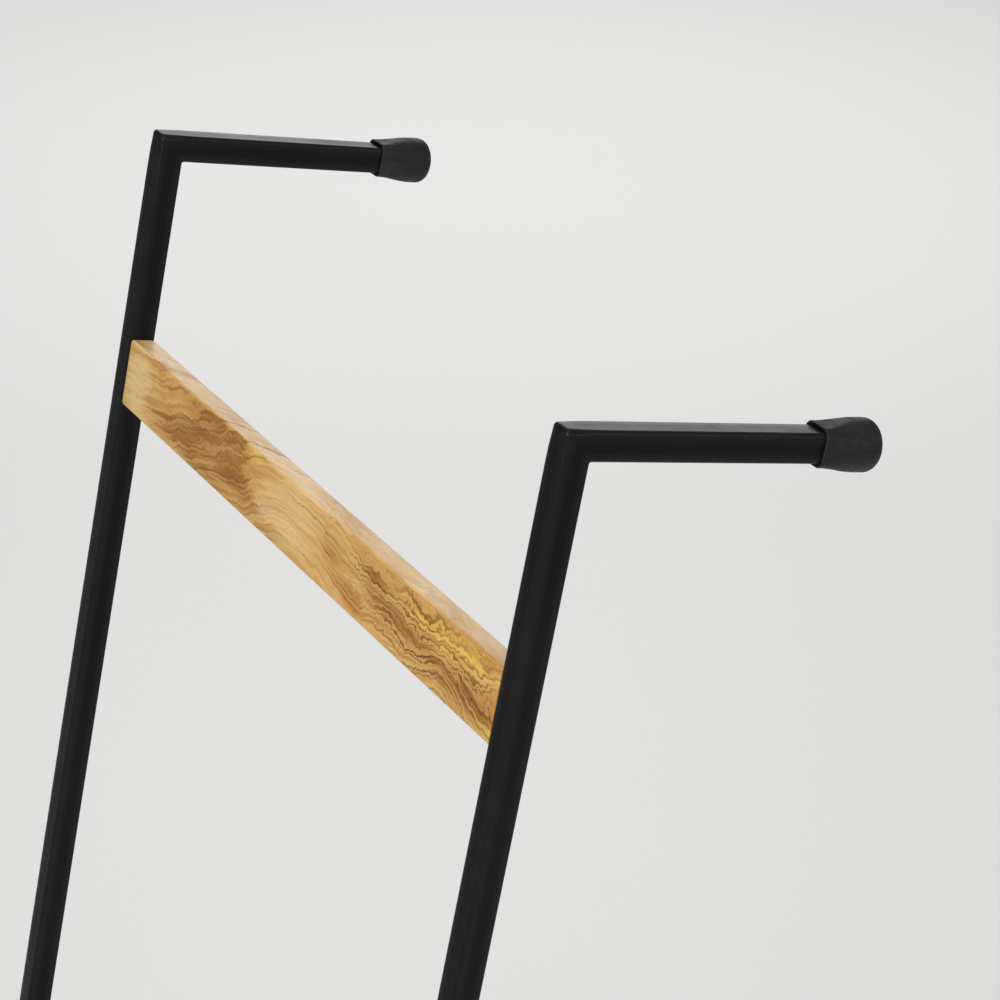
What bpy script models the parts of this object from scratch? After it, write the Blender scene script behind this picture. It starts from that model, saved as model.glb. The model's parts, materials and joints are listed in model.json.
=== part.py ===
"""Leaning blanket ladder: two black square-tube side frames, wooden rungs, rubber end caps.

The rack stands in its in-use pose, leaning towards the wall on its +Y side.
Metres, +Z up. The origin is the bottom centre of the whole rack's bounding box.

Inside the rack's own tilted frame, x runs along the rungs, y runs along the arms towards
the wall, and z runs up the rails. The rails' front faces lie on y = 0.
"""

import math

import bmesh
import bpy
from mathutils import Matrix, Vector

# ---- driving dimensions (metres, radians) ----

LEAN = math.radians(11.0)        # tilt of the rails from the vertical

TUBE_SIDE = 0.0127               # outer side of the square tube
TUBE_WALL = 0.0012               # tube wall
TUBE_CORNER = 0.0018             # outer corner radius of the tube

CLEAR_SPAN = 0.382               # between the rails' inner faces
RAIL_LENGTH = 1.830              # foot end of the tube to the outer corner of the bend
ARM_LENGTH = 0.1325              # outer corner of the bend to the open end of the arm

RUNG_COUNT = 5
RUNG_DROP = 0.1005               # top of the arms to the top face of the highest rung
RUNG_PITCH = 0.390               # from one rung to the next
RUNG_HEIGHT = 0.0325
RUNG_THICKNESS = 0.012
RUNG_EDGE = 0.0015               # rounding of the rung's long edges

PIN_DIAMETER = 0.005             # steel pins between the rails and the rungs
PIN_LENGTH = 0.025
PIN_SPACING = 0.018              # between the two pins in one rung end
PIN_CLEARANCE = 0.0003           # radial, between a pin and its hole
PIN_HOLE_SPARE = 0.0015          # depth of the hole past the pin's tip

CAP_WALL = 0.0015                # rubber beside the tube at the cap's mouth
CAP_BELLY_WALL = 0.0045          # rubber beside the tube where the cap is widest
CAP_MOUTH_CORNER = 0.0041        # corner radius of the cap's square mouth
CAP_EDGE = 0.0046                # rounding where the cap's side meets its end face
CAP_GRIP = 0.0170                # length of tube held in a cap
WALL_CAP_END = 0.0100            # rubber past the end of the arm
FOOT_CAP_END = 0.0090            # rubber under the end of the rail
CAP_BELLY_PLACE = 0.30           # the widest place, as a share of the length from the end face

GAP = 0.0003                     # between pieces that touch

# ---- mesh fineness ----

CORNER_STEPS = 7                 # chords in a quarter turn of a cap
TUBE_STEPS = 4                   # chords in a quarter turn of the tube
TAPER_STEPS = 6                  # rings between the cap's belly and its mouth
EDGE_STEPS = 4                   # rings around the cap's end edge
PIN_SIDES = 24

RAIL_X = (CLEAR_SPAN + TUBE_SIDE) / 2     # centre of a rail, out from the middle plane
SIDES = {"left": -1, "right": 1}          # as seen by someone who faces the wall


# ---- scene helpers ----

def clear_scene():
    """Remove every object, so that the file holds only the rack."""
    for item in list(bpy.data.objects):
        bpy.data.objects.remove(item, do_unlink=True)


def new_collection(name):
    """Return a new collection linked to the scene."""
    group = bpy.data.collections.new(name)
    bpy.context.scene.collection.children.link(group)
    return group


def material(name, colour, roughness, metallic=0.0):
    """Return a plain Principled material."""
    made = bpy.data.materials.new(name)
    made.use_nodes = True
    shader = made.node_tree.nodes["Principled BSDF"]
    shader.inputs["Base Color"].default_value = (*colour, 1.0)
    shader.inputs["Roughness"].default_value = roughness
    shader.inputs["Metallic"].default_value = metallic
    return made


def add_object(name, mesh, group, parent, place=(0, 0, 0), turn=(0, 0, 0), look=None):
    """Link a mesh as an object, placed in the rack's tilted frame."""
    made = bpy.data.objects.new(name, mesh)
    group.objects.link(made)
    made.parent = parent
    made.location = place
    made.rotation_euler = turn
    if look is not None:
        mesh.materials.clear()
        mesh.materials.append(look)
    return made


def smooth(mesh, angle=math.radians(35)):
    """Shade a mesh smooth, with sharp edges kept."""
    mesh.shade_smooth()
    mesh.set_sharp_from_angle(angle=angle)


# ---- shapes ----

def rounded_square(side, radius, steps):
    """Return the corner points of a square with rounded corners, anticlockwise in x and y."""
    inset = side / 2 - radius
    points = []
    for quarter in range(4):
        turn = math.pi / 2 * quarter
        centre = Matrix.Rotation(turn, 2) @ Vector((inset, inset))
        for step in range(steps + 1):
            angle = turn + math.pi / 2 * step / steps
            offset = Vector((math.cos(angle), math.sin(angle))) * radius
            points.append(centre + offset)
    return points


def square_tube(length, top_mitre):
    """Return a square tube along +z from z = 0, its top end mitred.

    The mitre drops by one for one towards +y, from the full length at the -y face.
    """
    outline = bpy.data.curves.new("tube_outline", "CURVE")
    outline.dimensions = "2D"
    outline.fill_mode = "BOTH"
    outline.extrude = length / 2
    rings = ((TUBE_SIDE, TUBE_CORNER), (TUBE_SIDE - 2 * TUBE_WALL, TUBE_CORNER - TUBE_WALL))
    for side, radius in rings:
        points = rounded_square(side, radius, TUBE_STEPS)
        spline = outline.splines.new("POLY")
        spline.points.add(len(points) - 1)
        for slot, point in zip(spline.points, points):
            slot.co = (point.x, point.y, 0.0, 1.0)
        spline.use_cyclic_u = True
    carrier = bpy.data.objects.new("tube_outline", outline)
    bpy.context.scene.collection.objects.link(carrier)
    bpy.context.view_layer.update()
    drawn = carrier.evaluated_get(bpy.context.evaluated_depsgraph_get())
    mesh = bpy.data.meshes.new_from_object(drawn)
    bpy.data.objects.remove(carrier, do_unlink=True)
    bpy.data.curves.remove(outline)

    shape = bmesh.new()
    shape.from_mesh(mesh)
    bmesh.ops.remove_doubles(shape, verts=shape.verts, dist=1e-6)
    for vert in shape.verts:
        at_top = vert.co.z > 0
        vert.co.z += length / 2
        if at_top and top_mitre:
            vert.co.z -= vert.co.y + TUBE_SIDE / 2
    bmesh.ops.recalc_face_normals(shape, faces=shape.faces)
    shape.to_mesh(mesh)
    shape.free()
    smooth(mesh)
    return mesh


def lofted(name, rings):
    """Return a closed mesh through rings of equal point counts, its two end rings filled."""
    shape = bmesh.new()
    loops = [[shape.verts.new(point) for point in ring] for ring in rings]
    count = len(loops[0])
    for lower, upper in zip(loops, loops[1:]):
        for index in range(count):
            after = (index + 1) % count
            shape.faces.new((lower[index], lower[after], upper[after], upper[index]))
    shape.faces.new(loops[0])
    shape.faces.new(loops[-1])
    bmesh.ops.recalc_face_normals(shape, faces=shape.faces)
    mesh = bpy.data.meshes.new(name)
    shape.to_mesh(mesh)
    shape.free()
    smooth(mesh)
    return mesh


def cap_mesh(name, end_thickness, end_tilt):
    """Return a rubber cap with its end face at z = 0 and its square socket open at the top.

    The outside goes from a round belly to a square mouth. end_tilt slopes the end face:
    it rises by that much for each unit of y, and the slope dies out towards the mouth.
    """
    length = end_thickness + GAP + CAP_GRIP
    socket = TUBE_SIDE + 2 * GAP
    mouth = socket + 2 * CAP_WALL
    belly = TUBE_SIDE + 2 * CAP_BELLY_WALL
    belly_z = length * CAP_BELLY_PLACE

    def ring(height, side, radius, slope=0.0):
        return [Vector((point.x, point.y, height + slope * point.y))
                for point in rounded_square(side, radius, CORNER_STEPS)]

    rings = []
    for step in range(EDGE_STEPS + 1):
        angle = math.pi / 2 * step / EDGE_STEPS
        height = CAP_EDGE * (1 - math.cos(angle))
        side = belly - 2 * CAP_EDGE * (1 - math.sin(angle))
        rings.append(ring(height, side, side / 2, end_tilt))
    rings.append(ring(belly_z, belly, belly / 2, end_tilt / 2))
    for step in range(1, TAPER_STEPS + 1):
        share = step / TAPER_STEPS
        blend = share * share * (3 - 2 * share)
        side = belly + (mouth - belly) * blend
        radius = belly / 2 + (CAP_MOUTH_CORNER - belly / 2) * blend
        slope = end_tilt / 2 * (1 - blend)
        rings.append(ring(belly_z + (length - belly_z) * share, side, radius, slope))
    rings.append(ring(length, socket, TUBE_CORNER + GAP))
    rings.append(ring(end_thickness, socket, TUBE_CORNER + GAP))
    return lofted(name, rings)


def cylinder(name, diameter, length):
    """Return a cylinder centred on the origin, along x."""
    shape = bmesh.new()
    bmesh.ops.create_cone(
        shape, cap_ends=True, segments=PIN_SIDES, radius1=diameter / 2,
        radius2=diameter / 2, depth=length,
        matrix=Matrix.Rotation(math.pi / 2, 4, "Y"))
    mesh = bpy.data.meshes.new(name)
    shape.to_mesh(mesh)
    shape.free()
    smooth(mesh)
    return mesh


def rounded_bar(name, size, edge):
    """Return a box of the given size, centred, with its long edges (along x) rounded."""
    shape = bmesh.new()
    bmesh.ops.create_cube(shape, size=1.0, matrix=Matrix.Diagonal((*size, 1.0)))
    long_edges = [item for item in shape.edges
                  if abs(item.verts[0].co.x - item.verts[1].co.x) > size[0] / 2]
    bmesh.ops.bevel(shape, geom=long_edges, offset=edge, offset_type="OFFSET",
                    segments=4, profile=0.5, affect="EDGES")
    mesh = bpy.data.meshes.new(name)
    shape.to_mesh(mesh)
    shape.free()
    smooth(mesh)
    return mesh


# ---- sub-parts ----

def add_side_frame(side, group, rack, looks):
    """Add one rail, its arm, and the rubber caps on their open ends."""
    centre_x = SIDES[side] * RAIL_X
    mid = TUBE_SIDE / 2
    half_gap = GAP / 2

    # Each tube is short of the bend's outer corner by half the gap, measured across the mitre.
    back_off = half_gap * math.sqrt(2)
    rail = square_tube(RAIL_LENGTH - back_off, top_mitre=True)
    add_object(f"{side}_rail", rail, group, rack, (centre_x, mid, 0), look=looks["coat"])

    # The arm's tube is laid along -y, with its open end at the wall side. It is turned so
    # that its mitre is longest on top and meets the rail's.
    arm = square_tube(ARM_LENGTH - back_off, top_mitre=True)
    add_object(f"{side}_arm", arm, group, rack,
               (centre_x, ARM_LENGTH, RAIL_LENGTH - mid),
               (-math.pi / 2, 0, math.pi), look=looks["coat"])

    wall_cap = cap_mesh(f"{side}_wall_cap", WALL_CAP_END, 0.0)
    add_object(f"{side}_wall_cap", wall_cap, group, rack,
               (centre_x, ARM_LENGTH + GAP + WALL_CAP_END, RAIL_LENGTH - mid),
               (math.pi / 2, 0, 0), look=looks["rubber"])

    # The sole is level when the rack leans, so that the foot stands flat on the floor.
    foot_cap = cap_mesh(f"{side}_foot_cap", FOOT_CAP_END, math.tan(LEAN))
    add_object(f"{side}_foot_cap", foot_cap, group, rack,
               (centre_x, mid, -GAP - FOOT_CAP_END), look=looks["rubber"])


def add_rung(number, group, cutters, rack, looks):
    """Add one rung with its four pins, two in each end."""
    centre_z = RAIL_LENGTH - RUNG_DROP - RUNG_HEIGHT / 2 - RUNG_PITCH * (number - 1)
    centre = Vector((0, TUBE_SIDE / 2, centre_z))
    length = CLEAR_SPAN - 2 * GAP
    bar = rounded_bar(f"rung_{number}", (length, RUNG_THICKNESS, RUNG_HEIGHT), RUNG_EDGE)
    rung = add_object(f"rung_{number}", bar, group, rack, centre, look=looks["wood"])

    pin_shape = cylinder("pin", PIN_DIAMETER, PIN_LENGTH)
    hole_depth = PIN_LENGTH + PIN_HOLE_SPARE
    hole_shape = cylinder("pin_hole", PIN_DIAMETER + 2 * PIN_CLEARANCE, 2 * hole_depth)
    for side, sign in SIDES.items():
        for level, step in (("upper", 0.5), ("lower", -0.5)):
            height = Vector((0, 0, step * PIN_SPACING))
            end = centre + height + Vector((sign * CLEAR_SPAN / 2, 0, 0))

            # The cutter is centred on the rail's face, so it leaves a blind hole in the rung.
            cutter = add_object(f"hole_{number}_{side}_{level}", hole_shape, cutters, rack, end)
            cutter.hide_render = True
            cutter.display_type = "WIRE"
            cut = rung.modifiers.new(f"hole_{side}_{level}", "BOOLEAN")
            cut.operation = "DIFFERENCE"
            cut.solver = "EXACT"
            cut.object = cutter

            pin_centre = end - Vector((sign * (GAP + PIN_LENGTH / 2), 0, 0))
            add_object(f"rung_{number}_pin_{side}_{level}", pin_shape, group, rack,
                       pin_centre, look=looks["steel"])


def set_down(rack, group):
    """Move the rack so that the origin is the bottom centre of its bounding box."""
    bpy.context.view_layer.update()
    graph = bpy.context.evaluated_depsgraph_get()
    corners = []
    for item in group.objects:
        drawn = item.evaluated_get(graph)
        corners += [drawn.matrix_world @ vert.co for vert in drawn.data.vertices]
    low = Vector(min(point[axis] for point in corners) for axis in range(3))
    high = Vector(max(point[axis] for point in corners) for axis in range(3))
    rack.location -= Vector(((low.x + high.x) / 2, (low.y + high.y) / 2, low.z))
    bpy.context.view_layer.update()


def main():
    """Build the whole rack."""
    clear_scene()
    group = new_collection("blanket_ladder")
    cutters = new_collection("cutters")
    looks = {
        "coat": material("powder_coat", (0.018, 0.018, 0.020), 0.42),
        "rubber": material("rubber", (0.020, 0.022, 0.020), 0.65),
        "wood": material("lacquered_wood", (0.52, 0.30, 0.11), 0.38),
        "steel": material("steel", (0.55, 0.55, 0.56), 0.30, metallic=1.0),
    }
    rack = bpy.data.objects.new("rack", None)
    bpy.context.scene.collection.objects.link(rack)
    rack.rotation_euler = (-LEAN, 0, 0)

    for side in SIDES:
        add_side_frame(side, group, rack, looks)
    for number in range(1, RUNG_COUNT + 1):
        add_rung(number, group, cutters, rack, looks)
    set_down(rack, group)


main()
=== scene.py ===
"""Looks of a leaning blanket ladder: welded tube frames, rubber caps, figured wooden rungs.

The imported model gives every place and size. New surfaces are worked out in the rack's own
tilted frame, where x runs along the rungs, y along the arms towards the wall, and z up the
rails, and are then turned into the upright frame of the model.
"""

import json
import math

import bpy
import numpy as np
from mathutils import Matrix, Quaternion, Vector


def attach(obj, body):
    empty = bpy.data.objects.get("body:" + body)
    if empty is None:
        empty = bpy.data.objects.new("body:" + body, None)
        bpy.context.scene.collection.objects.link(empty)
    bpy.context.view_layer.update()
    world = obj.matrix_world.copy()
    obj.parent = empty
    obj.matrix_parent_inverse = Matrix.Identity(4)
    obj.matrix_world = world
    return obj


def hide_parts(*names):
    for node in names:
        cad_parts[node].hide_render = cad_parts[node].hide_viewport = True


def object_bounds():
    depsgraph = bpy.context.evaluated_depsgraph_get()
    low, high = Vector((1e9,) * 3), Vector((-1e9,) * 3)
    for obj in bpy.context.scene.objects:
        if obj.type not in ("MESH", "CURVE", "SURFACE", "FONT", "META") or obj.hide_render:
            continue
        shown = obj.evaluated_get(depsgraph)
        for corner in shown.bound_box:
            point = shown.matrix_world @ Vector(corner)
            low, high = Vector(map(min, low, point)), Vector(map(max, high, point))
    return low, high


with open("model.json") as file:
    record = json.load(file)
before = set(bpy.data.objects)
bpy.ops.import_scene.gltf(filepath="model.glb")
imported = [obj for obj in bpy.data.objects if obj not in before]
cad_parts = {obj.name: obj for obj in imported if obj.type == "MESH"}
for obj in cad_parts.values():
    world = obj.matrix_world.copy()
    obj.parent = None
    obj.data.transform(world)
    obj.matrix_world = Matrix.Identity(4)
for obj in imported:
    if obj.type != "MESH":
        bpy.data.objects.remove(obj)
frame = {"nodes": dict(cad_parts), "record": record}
CAD_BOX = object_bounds()

bl_info = {
    "name": "Blanket ladder looks",
    "version": (1, 0, 0),
    "blender": (4, 5, 0),
    "location": "3D View > Sidebar > Ladder",
    "description": "Builds the finished surfaces of a leaning blanket ladder",
    "category": "Object",
}

BODY = "root"
SIDES = ("left", "right")

MOUNTS = {mount["name"]: mount for mount in frame["record"]["mounts"]}
ARM_AXIS = MOUNTS["right_wall_pad"]["axis"]
LEAN = math.atan2(-ARM_AXIS[2], ARM_AXIS[1])
WOOD_COLOURS = ("cream", "pale", "gold", "honey", "yellow", "brown", "red", "dark")
DOME_REACH = 0.006        # how far from the bend the ground corner fades out
WELD_REACH = 0.005        # how far from the bend the weld's roughness fades out
SEAM_ANGLE = 0.035        # half the width of a cap's mould seam, as an angle round the cap
HOLE_SPARE = 0.0015       # depth of a pin hole past the pin's tip
DRILL_PAST = 0.005        # how far a hole's cutter runs out past the rung's end
TOP_FADE = 0.7            # how much the painted sheen weakens lines and dark patches on a rung's top face
TOP_PAINTED_SHEEN = 0.35          # how much paler a painted sheen makes a rung's top face
TOP_START = 0.93          # height share of a rung's face where its top face begins
TOP_BLEND = 0.05          # height share over which the face passes into the top face
LEVEL_ACROSS = 0.6        # rise of the growth lines' level across a rung, against up it
SPOT_DRIFT = 0.05         # how far a rung's spots drift along it across its thickness
LINE_SPACING = 0.0038     # between two of the fine dark growth lines
FIRST_SEED = 40           # the seed of rung n's figure is this plus n
GRIP_RINGS = 4            # grip rings from the middle of a cap's end face to its edge
RING_SPAN = (0.15, 0.92)  # the shares of that way between which they are cut

TUBE_STEPS = (6, 3)       # chords round a tube's corner and along its side
CAP_STEPS = (12, 4)       # the same for a cap
RUNG_STEPS = (5, 12)      # the same for a rung
BEND_STATIONS = 26        # sections from the bend to the far end of a rail or arm
RUNG_STATIONS = 210       # sections along a rung between its end edges
HOLE_SIDES = 32           # sides of a drilled hole
SHARP_ANGLE = math.radians(40)
WHITE = (1.0, 1.0, 1.0)

RUNG_NAMES = sorted(name for name in frame["nodes"]
                    if name.startswith("rung_") and "pin" not in name)
PIN_NAMES = sorted(name for name in frame["nodes"] if "_pin_" in name)


# ---- the tilted frame ----

def upright_from_tilted(points):
    """Turn points from the rack's tilted frame into the model's frame.

    The turn is about the x axis by minus the lean, so tilted z leans towards the wall.
    """
    cos, sin = math.cos(LEAN), math.sin(LEAN)
    turn = np.array([[1, 0, 0], [0, cos, sin], [0, -sin, cos]])
    return points @ turn.T


def tilted_box(node):
    """Return a CAD node's lowest and highest corner in the tilted frame, as two arrays."""
    mesh = frame["nodes"][node].data
    points = np.empty(len(mesh.vertices) * 3)
    mesh.vertices.foreach_get("co", points)
    cos, sin = math.cos(LEAN), math.sin(LEAN)
    turn = np.array([[1, 0, 0], [0, cos, -sin], [0, sin, cos]])
    tilted = points.reshape(-1, 3) @ turn.T
    return tilted.min(axis=0), tilted.max(axis=0)


# ---- surfaces ----

def surface(name, rows, first_pole=None, last_pole=None, attributes=None):
    """Return a closed mesh through a grid of points.

    rows has the shape (stations, points round a section, 3). Each section closes on itself.
    Where a pole is given, a fan of triangles closes that end. With no pole at either end,
    the last section joins the first, as in a ring. Faces are turned outwards by the sign of
    the enclosed volume, the sum of a . (b x c) / 6 over the triangles a, b, c.
    """
    stations, count = rows.shape[:2]
    points = rows.reshape(-1, 3)
    index = np.arange(stations * count).reshape(stations, count)
    after = np.roll(index, -1, axis=1)
    if first_pole is None and last_pole is None:
        lower, upper = index, np.roll(index, -1, axis=0)
        lower_after, upper_after = after, np.roll(after, -1, axis=0)
    else:
        lower, upper = index[:-1], index[1:]
        lower_after, upper_after = after[:-1], after[1:]
    quads = np.stack([lower, lower_after, upper_after, upper], axis=-1).reshape(-1, 4)
    fans = []
    for pole, ring, ring_after in ((first_pole, after[0], index[0]),
                                   (last_pole, index[-1], after[-1])):
        if pole is not None:
            centre = np.full(count, len(points))
            points = np.vstack([points, pole])
            fans.append(np.stack([centre, ring, ring_after], axis=-1))
    triangles = np.concatenate([quads[:, [0, 1, 2]], quads[:, [0, 2, 3]], *fans])
    corners = points[triangles]
    volume = np.einsum("ij,ij->", corners[:, 0], np.cross(corners[:, 1], corners[:, 2])) / 6
    if volume < 0:
        quads = quads[:, ::-1]
        fans = [fan[:, ::-1] for fan in fans]
    faces = quads.tolist() + [face for fan in fans for face in fan.tolist()]

    mesh = bpy.data.meshes.new(name)
    mesh.from_pydata(upright_from_tilted(points).tolist(), [], faces)
    for label, values in (attributes or {}).items():
        layer = mesh.attributes.new(label, "FLOAT", "POINT")
        flat = np.asarray(values, np.float32).reshape(-1)
        spare = len(points) - len(flat)
        layer.data.foreach_set("value", np.pad(flat, (0, spare), mode="edge"))
    mesh.shade_smooth()
    mesh.set_sharp_from_angle(angle=SHARP_ANGLE)
    return mesh


def add_piece(name, mesh, look, replaced):
    """Link a finished mesh as a piece that rides on the rack and stands for CAD nodes."""
    piece = bpy.data.objects.new(name, mesh)
    bpy.context.scene.collection.objects.link(piece)
    mesh.materials.append(look)
    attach(piece, BODY)
    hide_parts(*replaced)
    return piece


def rounded_rectangle(half_a, half_b, radius, corner_steps, side_steps):
    """Return points round a rectangle with rounded corners, in the a and b directions.

    The half sizes and the radius may be arrays, one value for each station; the result then
    has the shape (stations, points, 2). Each corner is a quarter circle round a centre that
    lies one radius in from both sides, and each straight side gets side_steps equal chords.
    """
    half_a, half_b, radius = np.broadcast_arrays(*(np.atleast_1d(np.asarray(value, float))
                                                   for value in (half_a, half_b, radius)))
    signs = ((1, 1), (-1, 1), (-1, -1), (1, -1))
    runs = []
    for quarter, (sign_a, sign_b) in enumerate(signs):
        turn = math.pi / 2 * quarter + np.linspace(0, math.pi / 2, corner_steps + 1)
        centre_a = sign_a * (half_a - radius)
        centre_b = sign_b * (half_b - radius)
        a = centre_a[:, None] + radius[:, None] * np.cos(turn)
        b = centre_b[:, None] + radius[:, None] * np.sin(turn)
        runs.append(np.stack([a, b], axis=-1))
    filled = []
    for quarter, run in enumerate(runs):
        filled.append(run)
        start, end = run[:, -1:], runs[(quarter + 1) % 4][:, :1]
        share = np.arange(1, side_steps)[None, :, None] / side_steps
        filled.append(start + (end - start) * share)
    return np.concatenate(filled, axis=1)


# ---- materials ----

class Shader:
    """A material's node tree, with short calls to add and join nodes."""

    def __init__(self, name):
        self.material = bpy.data.materials.new(name)
        self.material.use_nodes = True
        self.tree = self.material.node_tree
        self.surface = self.tree.nodes["Principled BSDF"]
        self.column = 0

    def node(self, kind, inputs=None, **settings):
        """Add a node; inputs maps a socket's name or number to a value or another socket."""
        made = self.tree.nodes.new(kind)
        self.column += 1
        made.location = (-220 * (self.column % 9) - 300, -260 * (self.column // 9))
        for key, value in settings.items():
            setattr(made, key, value)
        for key, value in (inputs or {}).items():
            self.put(made, key, value)
        return made

    def put(self, node, key, value):
        """Join a socket to an input, or set the input's own value."""
        if isinstance(value, bpy.types.NodeSocket):
            self.tree.links.new(value, node.inputs[key])
        else:
            node.inputs[key].default_value = value

    def maths(self, operation, first, second=0.0, third=0.0):
        """Add a Math node and return its value."""
        return self.node("ShaderNodeMath", {0: first, 1: second, 2: third},
                         operation=operation).outputs[0]

    def ramp(self, value, stops):
        """Add a smooth colour ramp through (place, colour) stops and return its colour."""
        made = self.node("ShaderNodeValToRGB", {0: value})
        band = made.color_ramp
        band.interpolation = "EASE"
        while len(band.elements) < len(stops):
            band.elements.new(0.5)
        for element, (place, colour) in zip(band.elements, stops):
            element.position = place
            element.color = (*colour, 1.0)
        return made.outputs[0]

    def span(self, value, low, high, to_low=0.0, to_high=1.0):
        """Map a value's span smoothly onto another."""
        made = self.node("ShaderNodeMapRange",
                         {"Value": value, "From Min": low, "From Max": high,
                          "To Min": to_low, "To Max": to_high},
                         interpolation_type="SMOOTHSTEP")
        return made.outputs["Result"]

    def noise(self, vector, scale, detail=3.0, roughness=0.55, distortion=0.0):
        """Add a noise texture and return its node."""
        return self.node("ShaderNodeTexNoise",
                         {"Vector": vector, "Scale": scale, "Detail": detail,
                          "Roughness": roughness, "Distortion": distortion})

    def stretched_noise(self, across, fine, along, slow):
        """Return noise that is fine across the growth lines and slow along the rung."""
        vector = self.node("ShaderNodeCombineXYZ",
                           {0: self.maths("MULTIPLY", across, fine),
                            1: self.maths("MULTIPLY", along, slow)})
        return self.noise(vector.outputs[0], 1.0).outputs[0]

    def mix(self, factor, first, second, blend="MIX"):
        """Mix two colours."""
        made = self.node("ShaderNodeMix", data_type="RGBA", blend_type=blend,
                         clamp_factor=True)
        self.put(made, 0, factor)
        self.put(made, 6, first)
        self.put(made, 7, second)
        return made.outputs[2]

    def tilted_coordinates(self, stretch=(1, 1, 1)):
        """Return Object coordinates turned into the tilted frame, then stretched."""
        place = self.node("ShaderNodeTexCoord").outputs["Object"]
        turned = self.node("ShaderNodeMapping", {"Vector": place, "Rotation": (LEAN, 0, 0)})
        scaled = self.node("ShaderNodeMapping", {"Vector": turned.outputs[0], "Scale": stretch})
        return scaled.outputs[0]

    def attribute(self, name):
        """Return a value that the mesh holds at each point."""
        return self.node("ShaderNodeAttribute", attribute_name=name).outputs["Fac"]

    def bump(self, height, distance, strength=1.0, under=None):
        """Add a bump of the given depth in metres and return its normal."""
        inputs = {"Height": height, "Distance": distance, "Strength": strength}
        if under is not None:
            inputs["Normal"] = under
        return self.node("ShaderNodeBump", inputs).outputs[0]

    def finish(self, **sockets):
        """Join or set the surface shader's inputs, named with _ for a space."""
        for key, value in sockets.items():
            self.put(self.surface, key.replace("_", " "), value)
        return self.material


def powder_coat(colour, roughness):
    """Black satin powder coat: fine orange peel, faint cloudiness, glossier arrises with a painted
    highlight on them.
    """
    shader = Shader("powder_coat")
    place = shader.tilted_coordinates()
    peel = shader.noise(place, 620.0, detail=2.0, roughness=0.45)
    grit = shader.noise(place, 2600.0, detail=1.0)
    cloud = shader.noise(place, 22.0, detail=4.0, roughness=0.6)
    edge = shader.attribute("arris")
    weld = shader.attribute("weld")
    tone = shader.ramp(cloud.outputs[0], [
        (0.30, tuple(0.82 * value for value in colour)),
        (0.72, tuple(1.22 * value for value in colour))])
    # The arrises are painted lighter, a painted highlight along the rounded corners.
    tone = shader.mix(shader.maths("MULTIPLY", edge, 0.3), tone, (0.022, 0.022, 0.023, 1.0))
    shine = shader.span(cloud.outputs[0], 0.3, 0.7, roughness - 0.05, roughness + 0.06)
    shine = shader.maths("SUBTRACT", shine, shader.maths("MULTIPLY", edge, 0.08))
    rough_weld = shader.noise(place, 210.0, detail=3.0)
    normal = shader.bump(peel.outputs[0], 0.00010, 0.55)
    normal = shader.bump(grit.outputs[0], 0.00002, 0.5, normal)
    ripple = shader.maths("MULTIPLY", rough_weld.outputs[0], weld)
    normal = shader.bump(ripple, 0.00035, 0.8, normal)
    return shader.finish(Base_Color=tone, Roughness=shine, Normal=normal,
                         Specular_IOR_Level=0.18, IOR=1.3)


def rubber(colour, roughness):
    """Moulded black rubber: matte, faintly green, with a dusty bloom, fine pitting and a painted
    highlight on its rounded end edge.
    """
    shader = Shader("moulded_rubber")
    place = shader.tilted_coordinates()
    cloud = shader.noise(place, 120.0, detail=5.0, roughness=0.65)
    pits = shader.noise(place, 1900.0, detail=2.0)
    scuff = shader.noise(shader.tilted_coordinates((300, 300, 40)), 1.0, detail=4.0)
    dust = shader.span(cloud.outputs[0], 0.48, 0.72)
    bloom = tuple(value + 0.008 for value in colour)
    tone = shader.mix(dust, (*colour, 1.0), (*bloom, 1.0))
    # The rounded end edge is painted lighter, a painted highlight.
    painted_highlight = shader.attribute("arris")
    tone = shader.mix(shader.maths("MULTIPLY", painted_highlight, 0.4), tone, (0.035, 0.038, 0.035, 1.0))
    shine = shader.span(scuff.outputs[0], 0.35, 0.7, roughness - 0.08, roughness + 0.1)
    normal = shader.bump(pits.outputs[0], 0.00005, 0.6)
    normal = shader.bump(cloud.outputs[0], 0.00012, 0.4, normal)
    return shader.finish(Base_Color=tone, Roughness=shine, Normal=normal,
                         Specular_IOR_Level=0.22)


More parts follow.
